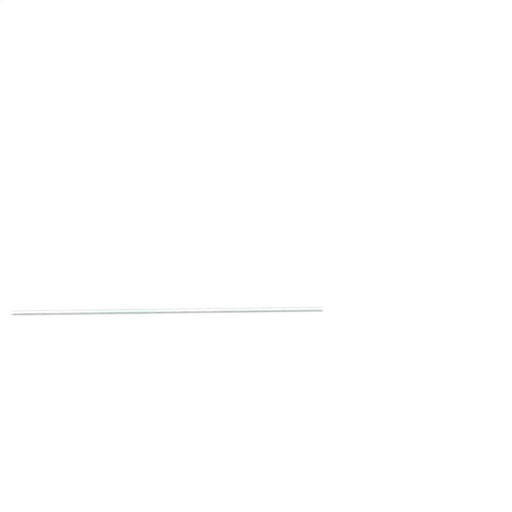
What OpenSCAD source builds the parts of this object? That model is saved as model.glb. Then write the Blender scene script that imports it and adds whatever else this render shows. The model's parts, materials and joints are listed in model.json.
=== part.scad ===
// Glass capillary tube for small samples: one straight length of drawn glass with a bore right
// through it, open at both ends. Each end is cut square, and a flame has rounded its two edges.
// The tube lies along X on the plane z = 0, with its middle over the origin. Sizes are in
// millimetres.

/* [Tube] */
// Length from one end face to the other
tube_length = 75; // [40:1:150]
// Outside diameter
outer_d = 1.1; // [0.9:0.05:2]
// Thickness of the glass between the bore and the outside
wall = 0.175; // [0.13:0.005:0.3]

/* [Ends] */
// Radius of the outer edge of each end, which the flame reaches first
outer_edge_r = 0.06; // [0.02:0.002:0.074]
// Radius of the bore's edge at each end, which melts less
bore_edge_r = 0.04; // [0.02:0.002:0.05]

/* [Hidden] */
$fn = 96;
outer_r = outer_d / 2;
bore_r = outer_r - wall;
clear_glass = [0.88, 0.94, 0.92, 0.4];

// What the flame takes off one corner of the wall's section: a square over the corner, less the
// disc that touches both faces of the wall. inward points from the corner into the glass.
module melted_away(corner, inward, edge_r) {
    difference() {
        translate(corner)
            square(2 * edge_r, center = true);
        translate(corner + edge_r * inward)
            circle(r = edge_r);
    }
}

// The wall cut lengthwise, on one side of the tube's axis, which is Y here.
module wall_section() {
    difference() {
        translate([bore_r, -tube_length / 2])
            square([wall, tube_length]);
        for (side = [-1, 1]) {
            melted_away([outer_r, side * tube_length / 2], [-1, -side], outer_edge_r);
            melted_away([bore_r, side * tube_length / 2], [1, -side], bore_edge_r);
        }
    }
}

// The wall turned round the axis, laid along X and lifted until its lowest line is at z = 0.
module capillary_tube() {
    color(clear_glass)
        translate([0, 0, outer_r])
            rotate([0, 90, 0])
                rotate_extrude()
                    wall_section();
}

capillary_tube();
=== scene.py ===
"""A glass capillary tube: one straight length of drawn glass with a bore right through it, open at
both ends, lying on a white studio floor. Lengths are in metres. The tube lies along X on the plane
z = 0, with its middle over the origin."""

import json
import math
import bpy
from mathutils import Euler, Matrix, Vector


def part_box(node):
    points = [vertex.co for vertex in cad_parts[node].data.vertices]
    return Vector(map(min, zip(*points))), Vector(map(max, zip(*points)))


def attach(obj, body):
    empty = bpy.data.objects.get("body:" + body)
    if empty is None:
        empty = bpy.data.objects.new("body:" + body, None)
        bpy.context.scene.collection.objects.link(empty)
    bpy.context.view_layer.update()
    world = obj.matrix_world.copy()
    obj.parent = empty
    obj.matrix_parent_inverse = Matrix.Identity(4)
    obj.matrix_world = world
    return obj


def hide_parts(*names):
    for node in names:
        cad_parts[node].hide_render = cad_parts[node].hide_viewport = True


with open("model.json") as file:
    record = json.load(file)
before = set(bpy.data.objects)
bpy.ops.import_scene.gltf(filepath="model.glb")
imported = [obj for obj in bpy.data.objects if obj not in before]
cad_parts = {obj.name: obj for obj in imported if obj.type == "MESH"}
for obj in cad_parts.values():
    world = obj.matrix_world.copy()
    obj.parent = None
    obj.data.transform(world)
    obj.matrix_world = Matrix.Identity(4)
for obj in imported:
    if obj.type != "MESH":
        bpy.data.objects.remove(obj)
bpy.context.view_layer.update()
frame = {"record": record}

bl_info = {
    "name": "Glass Capillary Tube",
    "version": (1, 0, 0),
    "blender": (4, 5, 0),
    "location": "3D View > Sidebar > Capillary Tube",
    "description": "Makes a glass capillary tube and the white studio that it lies in",
    "category": "Object",
}

MM = 0.001
NODE = "capillary_tube"
BODY = "root"


def mount_size(name, key):
    """A size of one of the record's mounts, in metres."""
    mount = next(m for m in frame["record"]["mounts"] if m["name"] == name)
    return mount["dims"][key] * MM


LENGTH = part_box(NODE)[1].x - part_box(NODE)[0].x
OUTER_RADIUS = mount_size("outside", "r_mm")
BORE_RADIUS = mount_size("bore", "r_mm")
OUTER_EDGE_RADIUS = (LENGTH - mount_size("outside", "length_mm")) / 2
BORE_EDGE_RADIUS = (LENGTH - mount_size("bore", "length_mm")) / 2

# How close to an end face, as a share of the length, and to the bore, as a share of its radius, a
# point counts as on it
ON_END = 0.0001
ON_BORE = 0.001

# Patterns in the glass: how fine each is along the tube and across it, per metre, and the values of
# its noise between which it comes in
TINT_PATCHES = (50.0, 0.0, 0.0)
TINT_START = (48.0, 0.0, 0.0)
TINT_RANGE = (0.35, 0.68)
HANDLING_MARKS = (900.0, 2500.0, 2500.0)
HANDLING_RANGE = (0.5, 0.75)
DRAWN_LINES = (30.0, 9000.0, 9000.0)

# The studio
FLOOR_REACH = 20.0  # from the tube to each side of the floor
WALLS_END = (0.15, 0.4)  # sine of the height at which the white walls start and stop fading
KEY_ROTATION = (math.radians(35.0), 0.0, math.radians(-15.0))
CAMERA_LOCATION = (0.0122, -0.20065, 0.05665)
CAMERA_ROTATION = (math.radians(78.0), 0.0, math.radians(-2.6))
NEAREST_SEEN = 0.01  # from the camera
WHITE = (1.0, 1.0, 1.0, 1.0)


# ---------------------------------------------------------------- what a user would change


class TubeSettings(bpy.types.PropertyGroup):
    length: bpy.props.FloatProperty(
        name="Length",
        description="From one end face to the other",
        default=LENGTH,
        min=0.02,
        unit="LENGTH",
        precision=5,
    )
    outer_radius: bpy.props.FloatProperty(
        name="Outer Radius",
        description="Radius of the outside",
        default=OUTER_RADIUS,
        min=0.0003,
        unit="LENGTH",
        precision=6,
    )
    bore_radius: bpy.props.FloatProperty(
        name="Bore Radius",
        description="Radius of the bore",
        default=BORE_RADIUS,
        min=0.0001,
        unit="LENGTH",
        precision=6,
    )
    outer_edge_radius: bpy.props.FloatProperty(
        name="Outer Edge Radius",
        description="Rounding of each end's outer edge, which the flame reaches first",
        default=OUTER_EDGE_RADIUS,
        min=0.00001,
        unit="LENGTH",
        precision=6,
    )
    bore_edge_radius: bpy.props.FloatProperty(
        name="Bore Edge Radius",
        description="Rounding of the bore's edge at each end, which melts less",
        default=BORE_EDGE_RADIUS,
        min=0.00001,
        unit="LENGTH",
        precision=6,
    )
    bore_unevenness: bpy.props.FloatProperty(
        name="Bore Unevenness",
        description="How far the drawing leaves the bore off its true radius, as a share of it",
        default=0.012,
        min=0.0,
        max=0.1,
        subtype="FACTOR",
    )
    wave_length: bpy.props.FloatProperty(
        name="Wave Length",
        description="Length of the waves in the bore's unevenness",
        default=0.02,
        min=0.001,
        unit="LENGTH",
    )
    seed: bpy.props.FloatProperty(
        name="Seed", description="Picks the waves in the bore's unevenness", default=3.0
    )
    sides: bpy.props.IntProperty(
        name="Sides", description="Faces round the tube", default=160, min=24, max=512
    )
    rings: bpy.props.IntProperty(
        name="Rings",
        description="Cuts along the tube, closer towards its ends",
        default=40,
        min=2,
        max=50,
    )
    edge_steps: bpy.props.IntProperty(
        name="Edge Steps", description="Faces across each rounded edge", default=9, min=1
    )


class GlassSettings(bpy.types.PropertyGroup):
    tint: bpy.props.FloatVectorProperty(
        name="Tint",
        description="Colour that the glass gives to what is seen through it",
        default=(0.972, 0.974, 0.974),
        min=0.0,
        max=1.0,
        size=3,
        subtype="COLOR",
    )
    # Deep Tint is a greener colour that the glass's base colour takes in patches along the tube
    deep_tint: bpy.props.FloatVectorProperty(
        name="Deep Tint",
        description="Colour of the glass where a little more iron was drawn into it",
        default=(0.912, 0.971, 0.953),
        min=0.0,
        max=1.0,
        size=3,
        subtype="COLOR",
    )
    ior: bpy.props.FloatProperty(
        name="IOR", description="Index of refraction of borosilicate glass", default=1.473, min=1.0
    )
    depth_colour: bpy.props.FloatVectorProperty(
        name="Depth Colour",
        description="Colour that light takes on as it runs along inside the glass",
        default=(0.55, 0.68, 0.64),
        min=0.0,
        max=1.0,
        size=3,
        subtype="COLOR",
    )
    depth_density: bpy.props.FloatProperty(
        name="Depth Density",
        description="How soon light takes on the depth colour, per metre of glass",
        default=20.0,
        min=0.0,
    )
    streak_depth: bpy.props.FloatProperty(
        name="Streak Depth",
        description="Height of the faint lines that drawing leaves along the glass",
        default=0.0000003,
        min=0.0,
        unit="LENGTH",
        precision=8,
    )
    haze: bpy.props.FloatProperty(
        name="Haze",
        description="Roughness of the surface where handling has dulled it most",
        default=0.03,
        min=0.0,
        max=1.0,
        subtype="FACTOR",
    )


class StudioSettings(bpy.types.PropertyGroup):
    floor_colour: bpy.props.FloatVectorProperty(
        name="Floor Colour",
        description="Colour of the floor under the studio's light",
        default=(0.9, 0.9, 0.9),
        min=0.0,
        max=1.0,
        size=3,
        subtype="COLOR",
    )
    floor_lift: bpy.props.FloatProperty(
        name="Floor Lift",
        description="Light that the floor adds for the camera, so that it reads as white",
        default=0.07,
        min=0.0,
    )
    ambient: bpy.props.FloatProperty(
        name="Ambient", description="Light that comes from all round", default=0.28, min=0.0
    )
    upper_wall: bpy.props.FloatProperty(
        name="Upper Wall",
        description="Brightness of the studio above its white walls, as the glass shows it",
        default=0.66,
        min=0.0,
    )
    key_power: bpy.props.FloatProperty(
        name="Key Power",
        description="Light that the large soft light throws on a surface that faces it",
        default=2.9,
        min=0.0,
    )
    key_size: bpy.props.FloatProperty(
        name="Key Size",
        description="Angle that the large soft light takes up, as the tube sees it",
        default=math.radians(110.0),
        min=0.0,
        max=math.pi,
        subtype="ANGLE",
    )
    bounces: bpy.props.IntProperty(
        name="Bounces",
        description="Most times that light may turn, enough to follow the wall to its far end",
        default=1024,
        min=12,
        max=1024,
    )
    lens: bpy.props.FloatProperty(
        name="Lens",
        description="Focal length of the camera",
        default=60.0,
        min=10.0,
        unit="CAMERA",
    )


# ---------------------------------------------------------------- node trees


def feed(tree, socket, term):
    """Gives a socket its value, which is another node's output or a plain value."""
    if isinstance(term, bpy.types.NodeSocket):
        tree.links.new(term, socket)
    else:
        socket.default_value = term


def add(tree, kind, properties=None, **inputs):
    """A new node, with its properties and its inputs. An input's name has _ for each space."""
    node = tree.nodes.new(kind)
    for name, value in (properties or {}).items():
        setattr(node, name, value)
    for name, term in inputs.items():
        feed(tree, node.inputs[name.replace("_", " ")], term)
    return node


def calc(tree, operation, *terms):
    """The output of a Math node."""
    node = tree.nodes.new("ShaderNodeMath")
    node.operation = operation
    for socket, term in zip(node.inputs, terms):
        feed(tree, socket, term)
    return node.outputs["Value"]


# ---------------------------------------------------------------- the tube


def place_of_points(tree):
    """The place of each point, as the outputs X, Y and Z."""
    position = add(tree, "GeometryNodeInputPosition").outputs["Position"]
    return add(tree, "ShaderNodeSeparateXYZ", Vector=position).outputs


def round_corners(tree, section, size):
    """Rounds the four corners of the wall's section, the outer pair and the bore's pair."""
    place = place_of_points(tree)
    near_end = calc(tree, "MULTIPLY", size["Length"], 0.5 - ON_END)
    at_corner = calc(tree, "GREATER_THAN", calc(tree, "ABSOLUTE", place["Y"]), near_end)
    outside = calc(tree, "GREATER_THAN", place["X"], 0.0)
    more = calc(tree, "SUBTRACT", size["Outer Edge Radius"], size["Bore Edge Radius"])
    radius = calc(tree, "MULTIPLY_ADD", outside, more, size["Bore Edge Radius"])
    fillet = add(
        tree,
        "GeometryNodeFilletCurve",
        {"mode": "POLY"},
        Curve=section,
        Count=size["Edge Steps"],
        Radius=calc(tree, "MULTIPLY", at_corner, radius),
    )
    return fillet.outputs["Curve"]


def wall_section(tree, size):
    """The wall cut lengthwise, as a closed curve. X points outwards from the wall's middle, and Y
    runs along the tube."""
    wall = calc(tree, "SUBTRACT", size["Outer Radius"], size["Bore Radius"])
    rectangle = add(
        tree,
        "GeometryNodeCurvePrimitiveQuadrilateral",
        {"mode": "RECTANGLE"},
        Width=wall,
        Height=size["Length"],
    )
    # The rectangle's points 1 and 3 start its long sides, which alone are cut into rings.
    starts_long_side = calc(tree, "MODULO", add(tree, "GeometryNodeInputIndex").outputs[0], 2.0)
    cut = add(
        tree,
        "GeometryNodeSubdivideCurve",
        Curve=rectangle.outputs["Curve"],
        Cuts=calc(tree, "MULTIPLY", starts_long_side, size["Rings"]),
    )
    # A sine crowds the rings towards the ends, where the rounded edges begin.
    place = place_of_points(tree)
    share = calc(tree, "DIVIDE", place["Y"], size["Length"])
    crowded = calc(tree, "SINE", calc(tree, "MULTIPLY", share, math.pi))
    along = calc(tree, "MULTIPLY", crowded, calc(tree, "MULTIPLY", size["Length"], 0.5))
    moved = add(tree, "ShaderNodeCombineXYZ", X=place["X"], Y=along).outputs["Vector"]
    spaced = add(
        tree, "GeometryNodeSetPosition", Geometry=cut.outputs["Curve"], Position=moved
    )
    return round_corners(tree, spaced.outputs["Geometry"], size)


def turn_section(tree, section, size):
    """Turns the section about the tube's axis, which is Z here."""
    both_radii = calc(tree, "ADD", size["Outer Radius"], size["Bore Radius"])
    middle = calc(tree, "MULTIPLY", both_radii, 0.5)
    circle = add(
        tree,
        "GeometryNodeCurvePrimitiveCircle",
        {"mode": "RADIUS"},
        Resolution=size["Sides"],
        Radius=middle,
    )
    level = add(tree, "GeometryNodeSetCurveNormal", {"mode": "Z_UP"}, Curve=circle.outputs["Curve"])
    turned = add(
        tree,
        "GeometryNodeCurveToMesh",
        Curve=level.outputs["Curve"],
        Profile_Curve=section,
    )
    return turned.outputs["Mesh"]


def uneven_bore(tree, mesh, size):
    """Lets the bore wander a little off its true radius, in long waves along the tube."""
    place = place_of_points(tree)
    outwards = add(tree, "ShaderNodeCombineXYZ", X=place["X"], Y=place["Y"]).outputs["Vector"]
    radius = add(tree, "ShaderNodeVectorMath", {"operation": "LENGTH"}, Vector=outwards)
    nearly_bore = calc(tree, "MULTIPLY", size["Bore Radius"], 1.0 + ON_BORE)
    on_bore = calc(tree, "LESS_THAN", radius.outputs["Value"], nearly_bore)
    waves_along = calc(tree, "DIVIDE", place["Z"], size["Wave Length"])
    wave = add(
        tree,
        "ShaderNodeTexNoise",
        {"noise_dimensions": "1D", "normalize": False},
        W=calc(tree, "ADD", waves_along, size["Seed"]),
        Scale=1.0,
        Detail=1.0,
    )
    share = calc(tree, "MULTIPLY", wave.outputs["Fac"], size["Bore Unevenness"])
    offset = add(
        tree,
        "ShaderNodeVectorMath",
        {"operation": "SCALE"},
        Vector=outwards,
        Scale=calc(tree, "MULTIPLY", share, on_bore),
    )
    moved = add(tree, "GeometryNodeSetPosition", Geometry=mesh, Offset=offset.outputs["Vector"])
    return moved.outputs["Geometry"]


def lay_down(tree, mesh, size):
    """Lays the tube along X and lifts it until its lowest line is at z = 0."""
    laid = add(
        tree,
        "GeometryNodeTransform",
        Geometry=mesh,
        Translation=add(tree, "ShaderNodeCombineXYZ", Z=size["Outer Radius"]).outputs["Vector"],
        Rotation=Euler((0.0, math.pi / 2, 0.0)),
    )
    return laid.outputs["Geometry"]


TUBE_INPUTS = (
    # name, socket, the property of TubeSettings that fills it
    ("Length", "NodeSocketFloat", "length"),
    ("Outer Radius", "NodeSocketFloat", "outer_radius"),
    ("Bore Radius", "NodeSocketFloat", "bore_radius"),
    ("Outer Edge Radius", "NodeSocketFloat", "outer_edge_radius"),
    ("Bore Edge Radius", "NodeSocketFloat", "bore_edge_radius"),
    ("Bore Unevenness", "NodeSocketFloat", "bore_unevenness"),
    ("Wave Length", "NodeSocketFloat", "wave_length"),
    ("Seed", "NodeSocketFloat", "seed"),
    ("Sides", "NodeSocketInt", "sides"),
    ("Rings", "NodeSocketInt", "rings"),
    ("Edge Steps", "NodeSocketInt", "edge_steps"),
)


def tube_tree():
    """The node tree that draws the tube from its sizes."""
    tree = bpy.data.node_groups.new("drawn glass tube", "GeometryNodeTree")
    for name, socket, _ in TUBE_INPUTS:
        tree.interface.new_socket(name, in_out="INPUT", socket_type=socket)
    tree.interface.new_socket("Glass", in_out="INPUT", socket_type="NodeSocketMaterial")
    tree.interface.new_socket("Tube", in_out="OUTPUT", socket_type="NodeSocketGeometry")
    size = {output.name: output for output in add(tree, "NodeGroupInput").outputs}

    section = wall_section(tree, size)
    turned = turn_section(tree, section, size)
    laid = lay_down(tree, uneven_bore(tree, turned, size), size)
    smooth = add(tree, "GeometryNodeSetShadeSmooth", Geometry=laid)
    real = add(tree, "GeometryNodeRealizeInstances", Geometry=smooth.outputs["Geometry"])
    made = add(
        tree, "GeometryNodeSetMaterial", Geometry=real.outputs["Geometry"], Material=size["Glass"]
    )
    tree.links.new(made.outputs["Geometry"], add(tree, "NodeGroupOutput").inputs["Tube"])
    return tree


def draw_tube(settings, glass):
    """The tube as a plain mesh object, made by the node tree."""
    tree = tube_tree()
    base = bpy.data.objects.new("tube_nodes", bpy.data.meshes.new("tube_nodes"))
    bpy.context.scene.collection.objects.link(base)
    modifier = base.modifiers.new("drawn glass tube", "NODES")
    modifier.node_group = tree
    identifiers = {item.name: item.identifier for item in tree.interface.items_tree}
    for name, _, setting in TUBE_INPUTS:
        modifier[identifiers[name]] = getattr(settings, setting)
    modifier[identifiers["Glass"]] = glass
    depsgraph = bpy.context.evaluated_depsgraph_get()
    mesh = bpy.data.meshes.new_from_object(base.evaluated_get(depsgraph))
    bpy.data.objects.remove(base)
    if not mesh.polygons:
        raise RuntimeError("the node tree made no tube")
    tube = bpy.data.objects.new("capillary_tube_glass", mesh)
    bpy.context.scene.collection.objects.link(tube)
    return tube


# ---------------------------------------------------------------- materials


def new_material(name):
    """A material with its node tree, its Principled BSDF and its output."""
    material = bpy.data.materials.new(name)
    material.use_nodes = True
    tree = material.node_tree
    return material, tree, tree.nodes["Principled BSDF"], tree.nodes["Material Output"]


def noise(tree, scale, detail, start=(0.0, 0.0, 0.0)):
    """The factor of a noise on Object coordinates, with a scale for each axis. Start picks the part
    of the noise that lies over the origin."""
    place = add(tree, "ShaderNodeTexCoord").outputs["Object"]
    mapped = add(tree, "ShaderNodeMapping", Vector=place, Scale=scale, Location=start)
    texture = add(
        tree, "ShaderNodeTexNoise", Vector=mapped.outputs["Vector"], Scale=1.0, Detail=detail
    )
    return texture.outputs["Fac"]


def map_range(tree, value, within, to_low, to_high):
    """Goes smoothly from to_low to to_high as value goes from one end of within to the other."""
    node = add(
        tree,
        "ShaderNodeMapRange",
        {"interpolation_type": "SMOOTHSTEP"},
        Value=value,
        From_Min=within[0],
        From_Max=within[1],
        To_Min=to_low,
        To_Max=to_high,
    )
    return node.outputs["Result"]


def glass_material(settings):
    """Clear drawn glass, with a faint tint that comes and goes along it, the fine lines that
    drawing leaves, and a little haze from handling. Light that runs a long way inside it turns
    grey-green."""
    material, tree, glass, output = new_material("clear_drawn_glass")
    glass.inputs["Metallic"].default_value = 0.0
    glass.inputs["Transmission Weight"].default_value = 1.0
    glass.inputs["IOR"].default_value = settings.ior

    tint = add(tree, "ShaderNodeMix", {"data_type": "RGBA"})
    patches = noise(tree, TINT_PATCHES, detail=0.0, start=TINT_START)
    feed(tree, tint.inputs["Factor"], map_range(tree, patches, TINT_RANGE, 0.0, 1.0))
    tint.inputs["A"].default_value = (*settings.tint, 1.0)
    tint.inputs["B"].default_value = (*settings.deep_tint, 1.0)
    feed(tree, glass.inputs["Base Color"], tint.outputs["Result"])

    marks = noise(tree, HANDLING_MARKS, detail=3.0)
    haze = map_range(tree, marks, HANDLING_RANGE, 0.0, settings.haze)
    feed(tree, glass.inputs["Roughness"], haze)

    lines = noise(tree, DRAWN_LINES, detail=2.0)
    bump = add(tree, "ShaderNodeBump", Height=lines, Strength=1.0, Distance=settings.streak_depth)
    feed(tree, glass.inputs["Normal"], bump.outputs["Normal"])

    depth = add(
        tree,
        "ShaderNodeVolumeAbsorption",
        Color=(*settings.depth_colour, 1.0),
        Density=settings.depth_density,
    )
    feed(tree, output.inputs["Volume"], depth.outputs["Volume"])
    return material


def seen_directly(tree):
    """1 for the rays that show a surface to the camera, straight or by way of the glass, and 0 for
    those that light something."""
    path = add(tree, "ShaderNodeLightPath").outputs
    by_glass = calc(tree, "MAXIMUM", path["Is Glossy Ray"], path["Is Transmission Ray"])
    seen = calc(tree, "MAXIMUM", path["Is Camera Ray"], by_glass)
    # Diffuse Depth is 0 until the ray has met something that isn't glass.
    from_camera = calc(tree, "LESS_THAN", path["Diffuse Depth"], 0.5)
    return calc(tree, "MULTIPLY", seen, from_camera)


def floor_material(settings):
    """A matt white table top. It adds a little light of its own for the camera, and keeps
    shadows."""
    material, tree, paint, _ = new_material("white_table_top")
    paint.inputs["Base Color"].default_value = (*settings.floor_colour, 1.0)
    paint.inputs["Roughness"].default_value = 0.9
    paint.inputs["Specular IOR Level"].default_value = 0.0
    paint.inputs["Emission Color"].default_value = WHITE
    lift = calc(tree, "MULTIPLY", seen_directly(tree), settings.floor_lift)
    feed(tree, paint.inputs["Emission Strength"], lift)
    return material


# ---------------------------------------------------------------- the studio


def make_floor(settings):
    """The table top, wide enough to reach the horizon from every side."""
    signs = ((-1, -1), (1, -1), (1, 1), (-1, 1))
    corners = [(x * FLOOR_REACH, y * FLOOR_REACH, 0.0) for x, y in signs]
    mesh = bpy.data.meshes.new("table_top")
    mesh.from_pydata(corners, [], [(0, 1, 2, 3)])
    mesh.materials.append(floor_material(settings))
    table = bpy.data.objects.new("table_top", mesh)
    bpy.context.scene.collection.objects.link(table)


def make_world(settings):
    """White all round for the camera. The glass shows white walls with a dimmer studio above them,
    and everything else is lit by the plain ambient light."""
    world = bpy.data.worlds.new("studio")
    world.use_nodes = True
    tree = world.node_tree
    direction = add(tree, "ShaderNodeTexCoord").outputs["Generated"]
    height = add(tree, "ShaderNodeSeparateXYZ", Vector=direction).outputs["Z"]
    walls = map_range(tree, height, WALLS_END, 1.0, settings.upper_wall)
    by_camera = add(tree, "ShaderNodeLightPath").outputs["Is Camera Ray"]
    shown = calc(tree, "MAXIMUM", walls, by_camera)
    # ambient + seen * (shown - ambient)
    step = calc(tree, "SUBTRACT", shown, settings.ambient)
    strength = calc(tree, "MULTIPLY_ADD", seen_directly(tree), step, settings.ambient)
    background = tree.nodes["Background"]
    background.inputs["Color"].default_value = WHITE
    feed(tree, background.inputs["Strength"], strength)
    bpy.context.scene.world = world


def make_key_light(settings):
    """A large soft light, high up on the camera's side."""
    data = bpy.data.lights.new("key_light", "SUN")
    data.energy = settings.key_power
    data.angle = settings.key_size
    light = bpy.data.objects.new("key_light", data)
    light.rotation_euler = KEY_ROTATION
    bpy.context.scene.collection.objects.link(light)


def follow_light(cycles, bounces):
    """Lets light turn often enough inside the wall to come out at the far end of the tube. Cut off
    sooner, it leaves the end faces black."""
    cycles.max_bounces = bounces
    cycles.glossy_bounces = bounces
    cycles.transmission_bounces = bounces


def make_camera(settings):
    """The camera, in front of the tube, a little to its right and looking slightly down."""
    data = bpy.data.cameras.new("camera")
    data.lens = settings.lens
    data.clip_start = NEAREST_SEEN
    camera = bpy.data.objects.new("camera", data)
    camera.location = CAMERA_LOCATION
    camera.rotation_euler = CAMERA_ROTATION
    bpy.context.scene.collection.objects.link(camera)
    bpy.context.scene.camera = camera


# ---------------------------------------------------------------- operators and panel


class CAPILLARY_OT_make_tube(bpy.types.Operator):
    """Make the glass tube in place of its CAD node"""

    bl_idname = "capillary.make_tube"
    bl_label = "Make Tube"

    def execute(self, context):
        glass = glass_material(context.scene.capillary_glass)
        tube = draw_tube(context.scene.capillary_tube, glass)
        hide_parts(NODE)
        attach(tube, BODY)
        return {"FINISHED"}


class CAPILLARY_OT_make_studio(bpy.types.Operator):
    """Make the white floor, the light and the camera"""

    bl_idname = "capillary.make_studio"
    bl_label = "Make Studio"

    def execute(self, context):
        settings = context.scene.capillary_studio
        context.scene.view_settings.view_transform = "Standard"
        follow_light(context.scene.cycles, settings.bounces)
        make_floor(settings)
        make_world(settings)
        make_key_light(settings)
        make_camera(settings)
        return {"FINISHED"}


class CAPILLARY_PT_panel(bpy.types.Panel):
    """The tube's sizes and finish, the studio, and the buttons that make them"""

    bl_label = "Glass Capillary Tube"
    bl_space_type = "VIEW_3D"
    bl_region_type = "UI"
    bl_category = "Capillary Tube"

    def draw(self, context):
        scene = context.scene
        steps = (
            (CAPILLARY_OT_make_tube, (scene.capillary_tube, scene.capillary_glass)),
            (CAPILLARY_OT_make_studio, (scene.capillary_studio,)),
        )
        for operator, groups in steps:
            box = self.layout.box()
            for settings in groups:
                for name in settings.__annotations__:
                    box.prop(settings, name)
            box.operator(operator.bl_idname)


CLASSES = (
    TubeSettings,
    GlassSettings,
    StudioSettings,
    CAPILLARY_OT_make_tube,
    CAPILLARY_OT_make_studio,
    CAPILLARY_PT_panel,
)


def register():
    for cls in CLASSES:
        bpy.utils.register_class(cls)
    bpy.types.Scene.capillary_tube = bpy.props.PointerProperty(type=TubeSettings)
    bpy.types.Scene.capillary_glass = bpy.props.PointerProperty(type=GlassSettings)
    bpy.types.Scene.capillary_studio = bpy.props.PointerProperty(type=StudioSettings)


def unregister():
    del bpy.types.Scene.capillary_studio
    del bpy.types.Scene.capillary_glass
    del bpy.types.Scene.capillary_tube
    for cls in reversed(CLASSES):
        bpy.utils.unregister_class(cls)


def main():
    register()
    bpy.ops.capillary.make_tube()
    bpy.ops.capillary.make_studio()


if __name__ == "__main__":
    main()
